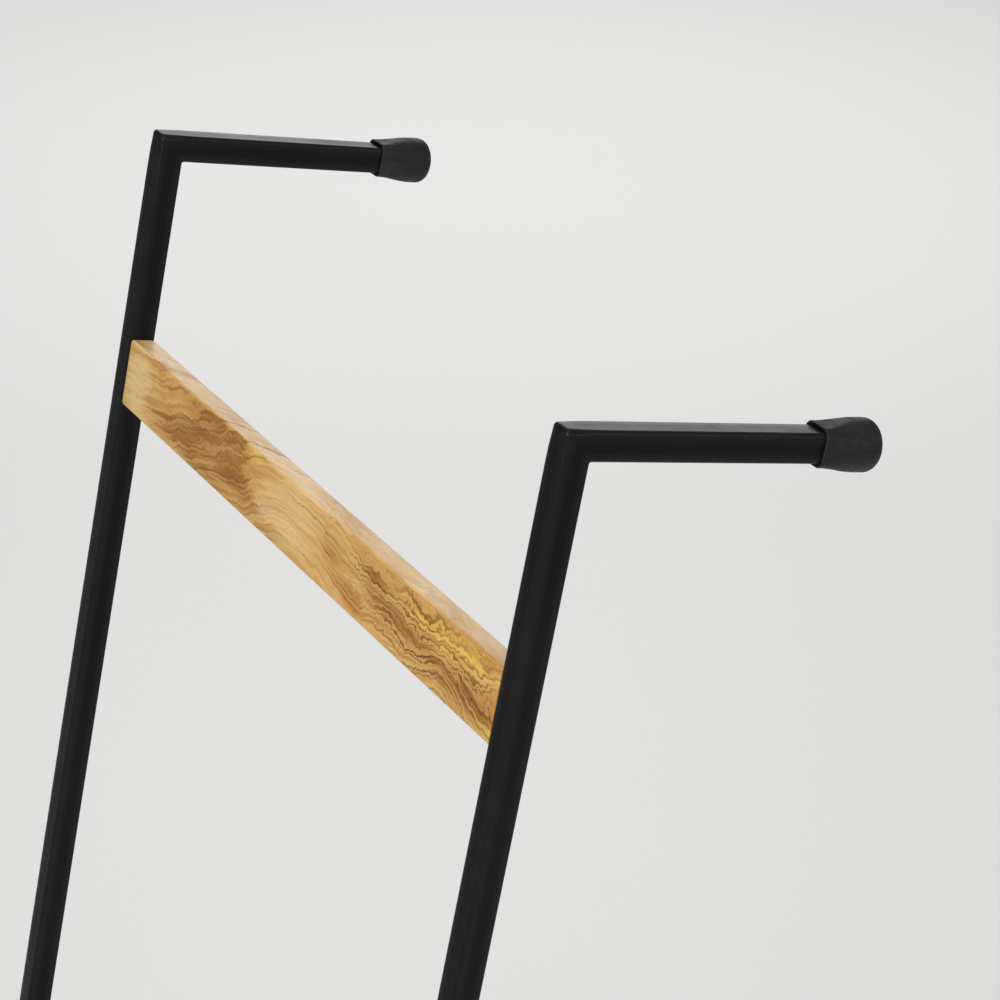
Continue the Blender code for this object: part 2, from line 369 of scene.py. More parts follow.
def lacquered_wood(colours, roughness):
    """Swirling figured wood under satin lacquer.

    The mesh holds the growth lines' level at each point, as flow, and how much of each
    feature lies there: cream, yellow, reddish and brown patches, and fine dark lines. On a
    rung's top face the cream also holds a painted sheen, which weakens the lines and dark
    patches there. The level is bent by two noises. A sine of it gives the fine lines, 3.8 mm
    apart, and a noise stretched along it gives the broad bands.
    """
    shader = Shader("lacquered_wood")
    place = shader.tilted_coordinates()
    along = shader.node("ShaderNodeSeparateXYZ", {0: place}).outputs[0]
    drift = shader.noise(place, 30.0, detail=5.0, roughness=0.62, distortion=0.7).outputs[0]
    tremble = shader.noise(place, 125.0, detail=4.0, roughness=0.62,
                           distortion=0.6).outputs[0]
    lines = shader.attribute("lines")
    sway = shader.maths("MULTIPLY_ADD", lines, 0.0075, 0.0026)
    swirl = shader.maths("MULTIPLY_ADD", lines, 0.0160, 0.0130)
    level = shader.maths("MULTIPLY_ADD", drift, swirl, shader.attribute("flow"))
    level = shader.maths("MULTIPLY_ADD", tremble, sway, level)

    broad = shader.stretched_noise(level, 210.0, along, 8.0)
    streak = shader.stretched_noise(level, 430.0, along, 18.0)
    grained = shader.span(streak, 0.36, 0.60, 0.45, 1.0)
    tone = shader.ramp(broad, [
        (0.30, colours["honey"]), (0.46, colours["gold"]), (0.58, colours["pale"]),
        (0.74, colours["cream"])])

    # Each patch's edge follows a noise, and its inside follows the fine streaks.
    for name, noise, ragged, strength in (("cream", broad, 1.4, 0.85),
                                          ("yellow", broad, 2.4, 0.90),
                                          ("red", drift, 2.6, 0.85),
                                          ("brown", broad, 3.2, 0.95)):
        patch = shader.maths("MULTIPLY_ADD", noise, ragged, shader.attribute(name))
        patch = shader.span(patch, 0.15 + ragged / 2, 0.80 + ragged / 2, 0.0, strength)
        tone = shader.mix(shader.maths("MULTIPLY", patch, grained), tone,
                          (*colours[name], 1.0))

    turn = shader.maths("MULTIPLY_ADD", level, 2 * math.pi / LINE_SPACING,
                        shader.maths("MULTIPLY", broad, 12.0))
    ring = shader.span(shader.maths("SINE", turn), -0.45, 1.0)
    broken = shader.span(streak, 0.38, 0.56)
    line = shader.maths("MULTIPLY", shader.maths("MULTIPLY", ring, broken), lines)
    tone = shader.mix(shader.maths("MULTIPLY", line, 0.95), tone, (*colours["dark"], 1.0))
    faint = shader.span(streak, 0.50, 0.72, 0.0, 0.32)
    tone = shader.mix(faint, tone, (*colours["brown"], 1.0))

    fibre = shader.noise(shader.tilted_coordinates((60, 1500, 1500)), 1.0, detail=2.0)
    tone = shader.mix(shader.span(fibre.outputs[0], 0.5, 0.75, 0.0, 0.22), tone,
                      (*colours["honey"], 1.0), "MULTIPLY")
    pore = shader.noise(shader.tilted_coordinates((190, 2600, 2600)), 1.0, detail=1.0)
    pore = shader.span(pore.outputs[0], 0.68, 0.76)
    tone = shader.mix(shader.maths("MULTIPLY", pore, 0.4), tone, (*colours["dark"], 1.0))

    shine = shader.span(drift, 0.35, 0.65, roughness - 0.05, roughness + 0.07)
    shine = shader.maths("MULTIPLY_ADD", pore, 0.15, shine)
    normal = shader.bump(pore, 0.00008, -0.5)
    normal = shader.bump(fibre.outputs[0], 0.00004, 0.6, normal)
    normal = shader.bump(drift, 0.0004, 0.25, normal)
    normal = shader.bump(line, 0.00025, -0.5, normal)
    return shader.finish(Base_Color=tone, Roughness=shine, Normal=normal,
                         Specular_IOR_Level=0.30, Coat_Weight=0.12, Coat_Roughness=0.25)


def turned_steel(colour, roughness):
    """Plain steel rod, with fine turning marks round it."""
    shader = Shader("turned_steel")
    marks = shader.noise(shader.tilted_coordinates((2600, 60, 60)), 1.0, detail=3.0)
    stain = shader.noise(shader.tilted_coordinates(), 180.0, detail=4.0)
    tone = shader.mix(shader.span(stain.outputs[0], 0.5, 0.7, 0.0, 0.4),
                      (*colour, 1.0), (0.30, 0.29, 0.28, 1.0))
    shine = shader.span(marks.outputs[0], 0.3, 0.7, roughness - 0.08, roughness + 0.12)
    return shader.finish(Base_Color=tone, Roughness=shine, Metallic=1.0,
                         Normal=shader.bump(marks.outputs[0], 0.00003, 0.6))


def pale_floor(colour):
    """A plain pale floor with a barely visible mottle."""
    shader = Shader("pale_floor")
    mottle = shader.noise(shader.node("ShaderNodeTexCoord").outputs["Object"], 0.8, detail=3.0)
    low = tuple(0.985 * value for value in colour)
    tone = shader.mix(mottle.outputs[0], (*low, 1.0), (*colour, 1.0))
    return shader.finish(Base_Color=tone, Roughness=0.75, Specular_IOR_Level=0.2)


# ---- settings ----

def length_setting(name, description, default):
    """Return a length as a property."""
    return bpy.props.FloatProperty(name=name, description=description, default=default,
                                   subtype="DISTANCE", unit="LENGTH")


def place_setting(name, description, default):
    """Return a place in the model's frame as a property."""
    return bpy.props.FloatVectorProperty(name=name, description=description, default=default,
                                         subtype="TRANSLATION", unit="LENGTH")


def angle_setting(name, description, default):
    """Return an angle as a property."""
    return bpy.props.FloatProperty(name=name, description=description, default=default,
                                   subtype="ANGLE", unit="ROTATION")


def power_setting(name, description, default):
    """Return a light's power as a property."""
    return bpy.props.FloatProperty(name=name, description=description, default=default,
                                   subtype="POWER", unit="POWER")


def share_setting(name, description, default):
    """Return a share from 0 to 1 as a property."""
    return bpy.props.FloatProperty(name=name, description=description, default=default,
                                   subtype="FACTOR", min=0.0, max=1.0)


def colour_setting(name, description, default):
    """Return a colour as a property."""
    return bpy.props.FloatVectorProperty(name=name, description=description, default=default,
                                         subtype="COLOR", min=0.0, max=1.0)


class FrameSettings(bpy.types.PropertyGroup):
    """Sizes and colour of the welded side frames."""

    corner: length_setting("Tube corner", "Corner radius of the square tube", 0.0018)
    wall: length_setting("Tube wall", "Wall of the square tube", 0.0012)
    outer_bend: length_setting(
        "Outer bend", "Radius ground on the outer corner of the bend", 0.0016)
    inner_bend: length_setting(
        "Inner bend", "Radius of the weld in the inner corner of the bend", 0.0010)
    dome: length_setting("Dome", "Extra corner radius where the weld is ground", 0.0012)
    colour: colour_setting("Coat colour", "Colour of the powder coat", (0.0052, 0.0053, 0.0057))
    roughness: share_setting("Coat roughness", "Roughness of the powder coat", 0.34)


class CapSettings(bpy.types.PropertyGroup):
    """Sizes and colour of the rubber caps."""

    mouth_corner: length_setting("Mouth corner", "Corner radius of the square mouth", 0.0041)
    mouth_wall: length_setting("Mouth wall", "Rubber beside the tube at the mouth", 0.0015)
    edge: length_setting("End edge", "Rounding of the end face's edge", 0.0046)
    belly_place: bpy.props.FloatProperty(
        name="Belly place", description="Widest place, from the end face to the mouth",
        default=0.30, subtype="FACTOR", min=0.1, max=0.9)
    gap: length_setting("Gap", "Gap between the rubber and the tube", 0.0003)
    socket_corner: length_setting("Socket corner", "Corner radius of the square socket", 0.0021)
    lip: length_setting("Lip", "Rounding of the mouth's rim", 0.0005)
    flare: length_setting("Flare", "Depth over which the mouth opens towards its rim", 0.0018)
    seam: length_setting("Mould seam", "How far the mould seam stands proud", 0.00012)
    groove: length_setting("Grip groove", "Depth of the rings in the end face", 0.0004)
    colour: colour_setting("Rubber colour", "Colour of the rubber", (0.0072, 0.0086, 0.0077))
    roughness: share_setting("Rubber roughness", "Roughness of the rubber", 0.56)


class RungSettings(bpy.types.PropertyGroup):
    """Sizes and colours of the wooden rungs and their steel pins."""

    edge: length_setting("Long edge", "Rounding of the rung's long edges", 0.0015)
    end_edge: length_setting("End edge", "Rounding of the rung's end edges", 0.0004)
    pin_clearance: length_setting("Pin clearance", "Gap round each pin in its hole", 0.0003)
    cream: colour_setting("Cream wood", "Colour of the palest wood", (0.710, 0.515, 0.250))
    pale: colour_setting("Pale wood", "Colour of the plain wood", (0.600, 0.385, 0.125))
    gold: colour_setting("Golden wood", "Colour of the golden bands", (0.520, 0.300, 0.085))
    honey: colour_setting("Honey wood", "Colour of the honey-brown bands", (0.430, 0.212, 0.054))
    yellow: colour_setting("Yellow wood", "Colour of the yellow patches", (0.74, 0.475, 0.075))
    brown: colour_setting("Brown wood", "Colour of the brown patches", (0.250, 0.092, 0.006))
    red: colour_setting("Reddish wood", "Colour of the reddish patches", (0.400, 0.150, 0.020))
    dark: colour_setting("Dark lines", "Colour of the fine dark lines", (0.120, 0.040, 0.002))
    roughness: share_setting("Lacquer roughness", "Roughness under the lacquer", 0.42)
    steel: colour_setting("Pin steel", "Colour of the steel pins", (0.52, 0.52, 0.53))
    steel_roughness: share_setting("Pin roughness", "Roughness of the steel pins", 0.32)


class StageSettings(bpy.types.PropertyGroup):
    """Camera, floor and lights."""

    azimuth: angle_setting(
        "Azimuth", "Camera's angle round the rack, from the front", math.radians(62.176))
    elevation: angle_setting("Elevation", "Camera's angle above the horizon", math.radians(23.972))
    distance: length_setting("Distance", "Camera's distance from its target", 1.45)
    target: place_setting("Target", "Point that the camera looks at", (-0.01823, 0.19676, 1.67283))
    roll: angle_setting("Roll", "Camera's turn about its own line of sight", math.radians(0.846))
    lens: bpy.props.FloatProperty(
        name="Lens", description="Focal length on a 36 mm wide sensor, in millimetres",
        default=115.82)
    floor_colour: colour_setting("Floor colour", "Colour of the floor", (0.80, 0.80, 0.795))
    floor_size: length_setting("Floor size", "Side of the floor", 40.0)
    key_power: power_setting("Key power", "Power of the soft light from the front right", 102.0)
    sheen_power: power_setting(
        "Sheen power", "Power of the soft light behind, for the top faces", 19.5)
    side_power: power_setting("Side power", "Power of the soft light on the floor beside", 46.0)
    overhead_power: power_setting("Overhead power", "Power of the soft light above", 11.0)
    side_place: place_setting(
        "Side place", "Middle of the lit floor beside the rack", (2.6, 1.5, 0.0))
    backdrop_power: power_setting(
        "Backdrop power", "Power of the soft light on the floor behind", 101.0)
    backdrop_size: length_setting(
        "Backdrop light size", "Side of the light on the floor behind", 5.8)
    backdrop_height: length_setting(
        "Backdrop light height", "Height of the light on the floor behind", 3.8)
    backdrop_place: place_setting(
        "Backdrop place", "Middle of the lit floor behind", (-5.2, 2.9, 0.0))
    sky: bpy.props.FloatProperty(
        name="Sky", description="Strength of the even light all round",
        default=0.27, min=0.0)


# ---- side frames ----

def bend_stations(rail_length, arm_length):
    """Return distances from the bend, thick near it, for the rail and for the arm.

    They are the arm's or rail's length times the cube of an even step, so the spacing grows
    away from the bend.
    """
    steps = np.linspace(0, 1, BEND_STATIONS)
    return rail_length * steps ** 3, arm_length * steps ** 3


def frame_wall(low, high, arm_end, side, radius, dome, bends, arc_steps=8):
    """Return one wall of an L-shaped square tube, as sections from the foot to the wall end.

    Each point of the section keeps its depth d behind the outer faces. Going up the rail it
    lies d behind the front face, along the arm d below the top face, and round the bend on a
    quarter circle whose centre is inside the bend, with a radius that goes evenly from the
    outer bend's to the inner bend's as d crosses the tube. The section's front corners get a
    larger radius near the bend, by a bell curve of the distance from it.
    """
    front, top = low[1], high[2]
    centre_x = (low[0] + high[0]) / 2
    full = high[0] - low[0]
    outer, inner = bends
    rail_away, arm_away = bend_stations(top - low[2] - full, arm_end - front - full)
    away = np.concatenate([rail_away[::-1], np.zeros(arc_steps - 1), arm_away])
    grown = radius + dome * np.exp(-(away / DOME_REACH) ** 2)
    plain = rounded_rectangle(side / 2, side / 2, np.full(len(away), radius), *TUBE_STEPS)
    domed = rounded_rectangle(side / 2, side / 2, grown, *TUBE_STEPS)
    across = np.where(plain[..., 1:] < 0, domed, plain)
    offset_x, depth = across[..., 0], across[..., 1] + full / 2
    bend = outer + (inner - outer) * np.clip(depth / full, 0, 1)

    rails, arcs = len(rail_away), arc_steps - 1
    y = np.empty_like(depth)
    z = np.empty_like(depth)
    part = slice(0, rails)
    share = (rail_away[::-1] / rail_away[-1])[:, None]
    start_z = top - depth[part] - bend[part]
    y[part] = front + depth[part]
    z[part] = start_z + (low[2] - start_z) * share
    part = slice(rails, rails + arcs)
    turn = (np.arange(1, arc_steps) / arc_steps * math.pi / 2)[:, None]
    y[part] = front + depth[part] + bend[part] * (1 - np.cos(turn))
    z[part] = top - depth[part] - bend[part] * (1 - np.sin(turn))
    part = slice(rails + arcs, None)
    share = (arm_away / arm_away[-1])[:, None]
    start_y = front + depth[part] + bend[part]
    y[part] = start_y + (arm_end - start_y) * share
    z[part] = top - depth[part]
    return np.stack([centre_x + offset_x, y, z], axis=-1), away


def make_side_frame(side, settings, look):
    """Make one rail and arm as a single welded, hollow tube with open ends."""
    rail_low, rail_high = tilted_box(f"{side}_rail")
    arm_high = tilted_box(f"{side}_arm")[1]
    high = np.array([rail_high[0], rail_high[1], arm_high[2]])
    width = high[0] - rail_low[0]
    bends = (settings.outer_bend, settings.inner_bend)
    outside, away = frame_wall(rail_low, high, arm_high[1], width, settings.corner,
                               settings.dome, bends)
    inside = frame_wall(rail_low, high, arm_high[1], width - 2 * settings.wall,
                        settings.corner - settings.wall, 0.0, bends)[0]
    rows = np.concatenate([outside, inside[::-1]])

    section = rounded_rectangle(width / 2, width / 2, settings.corner, *TUBE_STEPS)[0]
    flat = width / 2 - settings.corner
    corner = np.minimum(np.abs(section[:, 0]), np.abs(section[:, 1])) >= flat - 1e-7
    # The arris mask marks the tube's rounded corners, where the coat is glossier and gets its
    # painted highlight.
    arris = np.tile(corner.astype(float), (len(away), 1))
    weld = np.tile(np.exp(-(away / WELD_REACH) ** 2)[:, None], (1, rows.shape[1]))
    blank = np.zeros_like(arris)
    mesh = surface(f"{side}_side_frame", rows, attributes={
        "arris": np.concatenate([arris, blank]),
        "weld": np.concatenate([weld, blank])})
    add_piece(f"{side}_side_frame", mesh, look, [f"{side}_rail", f"{side}_arm"])


# ---- rubber caps ----

def smooth_step(share):
    """Return 3 s^2 - 2 s^3, which goes from 0 to 1 and is level at both ends."""
    return share ** 2 * (3 - 2 * share)


def cap_sections(length, end_thickness, belly, mouth, socket, settings):
    """Return a cap's half sizes, corner radii, heights above its end face, and edge marks, which
    place a painted highlight.

    The line runs from the middle of the end face out across its grip rings, round the end
    edge, up the belly, over the lip of the mouth and down the socket. Between the belly and
    the mouth, the half size and the corner radius follow the smooth step of the height.
    Inside the lip, the mouth narrows to the socket over the flare's depth.
    """
    edge, lip = settings.edge, settings.lip
    face = np.linspace(0.06, 1, 28)
    flat_half = belly - edge
    ring = np.clip(np.cos(face * math.pi * 2 * GRIP_RINGS), 0, 1) ** 2
    inner_face = (face > RING_SPAN[0]) & (face < RING_SPAN[1])
    face_z = np.where(inner_face, settings.groove * ring, 0.0)
    turn = np.linspace(0, math.pi / 2, 7)[1:]
    edge_half = flat_half + edge * np.sin(turn)
    edge_z = edge * (1 - np.cos(turn))
    share = np.linspace(0, 1, 22)[1:]
    blend = smooth_step(share)
    belly_z = length * settings.belly_place
    side_half = belly + (mouth - belly) * blend
    side_z = belly_z + (length - lip - belly_z) * share
    side_corner = belly + (settings.mouth_corner - belly) * blend
    over = np.linspace(0, 0.75 * math.pi, 7)[1:]
    lip_half = mouth - lip + lip * np.cos(over)
    lip_z = length - lip + lip * np.sin(over)
    lip_corner = settings.mouth_corner - (mouth - lip_half)
    inside_z = np.array([length - settings.flare, *np.linspace(
        length - 1.5 * settings.flare, end_thickness, 5)])
    inside_half = np.full(6, socket)
    inside_corner = np.full(6, settings.socket_corner)
    halves = np.concatenate([flat_half * face, edge_half, [belly], side_half, lip_half,
                             inside_half, [socket * 0.5]])
    heights = np.concatenate([face_z, edge_z, [belly_z], side_z, lip_z, inside_z,
                              [end_thickness]])
    corners = np.concatenate([flat_half * face, edge_half, [belly], side_corner, lip_corner,
                              inside_corner, [settings.socket_corner * 0.5]])
    # The marks are where the rubber gets its painted highlight: the rim of the end face and the
    # middle of its rounded edge.
    marks = np.concatenate([np.where(face > RING_SPAN[1], 0.5, 0.0), np.sin(turn * 2), [0.0],
                            np.zeros(len(side_half)), np.zeros(len(over)), np.zeros(7)])
    outside = np.arange(len(halves)) < len(face) + len(turn) + 1 + len(side_half)
    return halves, corners, heights, marks, outside


def make_cap(side, kind, settings, look):
    """Make one rubber cap, moulded round the end of an arm or of a rail.

    A foot cap's end face is cut level with the floor: its points move up the rail by the
    lean's slope times their place across it, which fades out towards the mouth.
    """
    name = f"{side}_{kind}_cap"
    low, high = tilted_box(name)
    tube_low, tube_high = tilted_box(f"{side}_rail" if kind == "foot" else f"{side}_arm")
    tube_half = (tube_high[0] - tube_low[0]) / 2
    socket = tube_half + settings.gap
    mouth = socket + settings.mouth_wall
    belly = (high[0] - low[0]) / 2
    if kind == "wall":
        length = high[1] - low[1]
        end_thickness = high[1] - tube_high[1] - settings.gap
        slope = 0.0
    else:
        slope = math.tan(LEAN)
        sole_middle = low[2] + slope * (belly - settings.edge)
        length = high[2] - sole_middle
        end_thickness = tube_low[2] - settings.gap - sole_middle
    halves, corners, heights, marks, outside = cap_sections(
        length, end_thickness, belly, mouth, socket, settings)
    section = rounded_rectangle(halves, halves, np.minimum(corners, halves), *CAP_STEPS)

    # The mould seam is a low ridge down the two sides that face along x.
    angle = np.arctan2(section[..., 1], section[..., 0])
    across = np.minimum(np.abs(angle), math.pi - np.abs(angle))
    ridge = settings.seam * np.exp(-(across / SEAM_ANGLE) ** 2) * outside[:, None]
    ridge *= np.clip(heights / settings.edge, 0, 1)[:, None]
    unit = section / np.maximum(np.linalg.norm(section, axis=-1, keepdims=True), 1e-9)
    section = section + unit * ridge[..., None]

    if kind == "wall":
        middle = np.array([(low[0] + high[0]) / 2, high[1], tube_high[2] - tube_half])
        rows = np.stack([middle[0] + section[..., 0],
                         np.broadcast_to(middle[1] - heights[:, None], section.shape[:2]),
                         middle[2] + section[..., 1]], axis=-1)
        first = middle
        last = middle - np.array([0, end_thickness, 0])
    else:
        middle = np.array([(low[0] + high[0]) / 2, tube_low[1] + tube_half, sole_middle])
        belly_z = length * settings.belly_place
        share = np.clip((heights - belly_z) / (length - belly_z), 0, 1)
        fade = np.where(heights < belly_z, 1 - 0.5 * heights / belly_z,
                        0.5 * (1 - smooth_step(share)))
        tilt = slope * np.where(outside, fade, 0.0)[:, None] * section[..., 1]
        rows = np.stack([middle[0] + section[..., 0], middle[1] + section[..., 1],
                         middle[2] + heights[:, None] + tilt], axis=-1)
        first = middle
        last = middle + np.array([0, 0, end_thickness])
    # The arris attribute carries the marks of the painted highlight.
    arris = np.tile(marks[:, None], (1, rows.shape[1]))
    mesh = surface(name, rows, first, last, {"arris": np.clip(arris, 0, 1)})
    add_piece(f"{side}_{kind}_rubber", mesh, look, [name])


# ---- rungs ----

# Figure of the top rung, listed spot by spot. A spot is its place along the rung and up its face,
# each as a share from -1 to 1, its reach along and up as shares too, and its strength, which is in
# metres for flow. A rise is a place, a reach and a height in metres: the growth lines climb by
# twice that height across it.
TOP_RUNG = {
    "rise": ((-0.56, 0.40, 0.025),),
    "flow": ((-0.03, -1.00, 0.34, 1.3, -0.016), (0.48, -0.70, 0.11, 1.0, -0.012),
             (0.72, -0.90, 0.12, 1.4, -0.026), (0.31, 0.30, 0.12, 0.9, 0.003),
             (0.95, 0.40, 0.08, 0.5, -0.010)),
    "cream": ((-0.97, 0.00, 0.08, 1.4, 0.9), (-0.70, -0.90, 0.14, 0.4, 0.5),
              (-0.06, 0.30, 0.20, 1.1, 0.75), (-0.12, -0.35, 0.12, 0.18, 0.9),
              (0.22, -0.85, 0.10, 0.2, 0.4), (0.30, -0.10, 0.08, 0.2, 0.5)),
    "brown": ((-0.68, -0.35, 0.16, 0.34, 0.95), (-0.55, 0.12, 0.13, 0.34, 0.95),
              (-0.54, 0.82, 0.14, 0.26, 1.00), (-0.40, 0.34, 0.08, 0.60, 1.00),
              (-0.38, -0.14, 0.10, 0.32, 0.90), (-0.27, -0.42, 0.07, 0.22, 0.65),
              (-0.56, -0.80, 0.20, 0.25, 0.60), (0.17, 0.15, 0.05, 0.22, 0.65),
              (0.37, 0.45, 0.06, 0.40, 0.45), (0.52, -0.10, 0.16, 0.28, 0.75),
              (0.82, -0.35, 0.14, 0.45, 0.90), (0.58, 0.75, 0.05, 0.20, 0.6)),
    "red": ((-0.62, -0.43, 0.05, 0.25, 0.7), (0.30, -0.50, 0.07, 0.32, 1.0),
            (0.93, -0.15, 0.05, 0.35, 0.95), (-0.70, 0.60, 0.12, 0.25, 0.45)),
    "yellow": ((0.70, 0.55, 0.20, 0.40, 0.8), (0.84, 0.68, 0.04, 0.14, 0.9),
               (0.95, -0.68, 0.03, 0.15, 0.8), (-0.05, -0.50, 0.04, 0.15, 0.5),
               (-0.66, 0.50, 0.12, 0.25, 0.35), (-0.30, 0.70, 0.10, 0.30, 0.4)),
    "lines": ((0.68, -0.05, 0.34, 1.3, 1.15), (0.34, 0.40, 0.12, 0.8, 0.35),
              (-0.45, -0.10, 0.26, 1.0, 0.35), (-0.25, -0.60, 0.12, 0.5, 0.45)),
}


def random_figure(seed):
    """Return a figure like the top rung's, from a seeded generator."""
    generator = np.random.default_rng(seed)
    figure = {"rise": ((generator.uniform(-0.6, 0.6), 0.3, generator.uniform(-0.014, 0.014)),)}
    kinds = (("flow", 6, 0.008, 0.022), ("cream", 5, 0.4, 0.9), ("brown", 10, 0.5, 0.85),
             ("red", 4, 0.5, 1.0), ("yellow", 5, 0.4, 0.9), ("lines", 4, 0.4, 1.0))
    for kind, count, low, high in kinds:
        along = (np.arange(count) + generator.uniform(0.1, 0.9, count)) / count * 2 - 1
        up = generator.uniform(-1.0, 1.0, count)
        reach = generator.uniform(0.05, 0.16, count)
        tall = generator.uniform(0.2, 0.7, count)
        strength = generator.uniform(low, high, count)
        if kind == "flow":
            strength *= generator.choice((-1, 1), count)
        if kind in ("flow", "lines"):
            reach, tall = reach * 1.6, tall * 1.6
        figure[kind] = tuple(zip(along, up, reach, tall, strength))
    return figure


def blobs(spots, along, up, across):
    """Sum bell curves over the rung: strength times e to minus the squared distances.

    Distances are measured as shares of each spot's reach; across the thickness the spots
    drift a little along the rung, so that the top face differs from the front.
    """
    total = np.zeros_like(along)
    for place, height, reach, tall, strength in spots:
        drifted = along + SPOT_DRIFT * across
        distance = ((drifted - place) / reach) ** 2 + ((up - height) / tall) ** 2
        total += strength * np.exp(-distance)
    return total


def make_rung(name, settings, look):
    """Make one rung: a bar with rounded edges, blind pin holes and a swirling figure."""
    low, high = tilted_box(name)
    middle, half = (low + high) / 2, (high - low) / 2
    end = settings.end_edge
    turn = np.linspace(0, math.pi / 2, 5)[1:]
    rounded = half[0] - end * (1 - np.sin(turn))
    shrink = end * (1 - np.cos(turn))
    straight = np.linspace(end - half[0], half[0] - end, RUNG_STATIONS)
    x = np.concatenate([-rounded[::-1], straight, rounded])
    less = np.concatenate([shrink[::-1], np.zeros(len(straight)), shrink])
    section = rounded_rectangle(half[1] - less, half[2] - less,
                                np.full(len(x), settings.edge) - less * 0.5, *RUNG_STEPS)
    rows = np.stack([np.broadcast_to(x[:, None], section.shape[:2]),
                     section[..., 0], section[..., 1]], axis=-1) + middle
    first = np.array([rows[0, 0, 0], middle[1], middle[2]])
    last = np.array([rows[-1, 0, 0], middle[1], middle[2]])

    number = int(name.split("_")[1])
    figure = TOP_RUNG if number == 1 else random_figure(FIRST_SEED + number)
    along = (rows[..., 0] - middle[0]) / half[0]
    up = (rows[..., 2] - middle[2]) / half[2]
    across = (rows[..., 1] - middle[1]) / half[1]
    values = {kind: blobs(spots, along, up, across)
              for kind, spots in figure.items() if kind != "rise"}
    # The top face gets a painted sheen: its lines and dark patches are weakened, and it is painted
    # paler through the cream.
    top = np.clip((up - TOP_START) / TOP_BLEND, 0, 1)
    for kind in ("lines", "brown", "red"):
        values[kind] *= 1 - TOP_FADE * top
    values["cream"] += TOP_PAINTED_SHEEN * top
    values["flow"] += up * half[2] + LEVEL_ACROSS * across * half[1]
    for place, reach, height in figure["rise"]:
        values["flow"] -= height * np.tanh((along - place) / reach)
    mesh = surface(name, rows, first, last, values)
    piece = add_piece(f"{name}_wood", mesh, look, [name])
    drill(piece, [pin for pin in PIN_NAMES if pin.startswith(name + "_")],
          settings.pin_clearance)


def drill(piece, pins, clearance):
    """Cut a blind hole round each pin, out through the nearer end of the rung."""
    for pin in pins:
        low, high = tilted_box(pin)
        radius = (high[2] - low[2]) / 2 + clearance
        outward = math.copysign(1.0, low[0])
        inner = min(abs(low[0]), abs(high[0])) - HOLE_SPARE
        outer = max(abs(low[0]), abs(high[0])) + DRILL_PAST
        reach = np.array([inner, outer]) * outward
        turn = np.linspace(0, 2 * math.pi, HOLE_SIDES, endpoint=False)
        ring = np.stack([np.zeros_like(turn), np.cos(turn), np.sin(turn)], axis=-1) * radius
        middle = (low + high) / 2
        middle[0] = 0.0
        rows = np.stack([ring + middle + np.array([place, 0, 0]) for place in reach])
        poles = [middle + np.array([place, 0, 0]) for place in reach]
        mesh = surface("drill", rows, poles[0], poles[1])
        cutter = bpy.data.objects.new("drill", mesh)
        bpy.context.scene.collection.objects.link(cutter)
        cut = piece.modifiers.new("hole", "BOOLEAN")
        cut.operation = "DIFFERENCE"
        cut.solver = "EXACT"
        cut.object = cutter
    bpy.context.view_layer.update()
    drawn = piece.evaluated_get(bpy.context.evaluated_depsgraph_get())
    old = piece.data
    piece.data = bpy.data.meshes.new_from_object(drawn)
    piece.data.name = old.name
    bpy.data.meshes.remove(old)
    for cut in list(piece.modifiers):
        cutter = cut.object
        piece.modifiers.remove(cut)
        bpy.data.objects.remove(cutter, do_unlink=True)


# ---- stage ----

def aim(thing, place, target):
    """Put a camera or light at a place and point it at a target, with its top up."""
    thing.location = place
    thing.rotation_mode = "QUATERNION"
    thing.rotation_quaternion = (Vector(target) - Vector(place)).to_track_quat("-Z", "Y")


def add_area(name, place, target, size, power, colour, spread=180):
    """Add a square soft light that shines within a spread, in degrees."""
    data = bpy.data.lights.new(name, "AREA")
    data.shape = "SQUARE"
    data.size = size
    data.energy = power
    data.spread = math.radians(spread)
    data.color = colour
    light = bpy.data.objects.new(name, data)
    bpy.context.scene.collection.objects.link(light)
    aim(light, place, target)


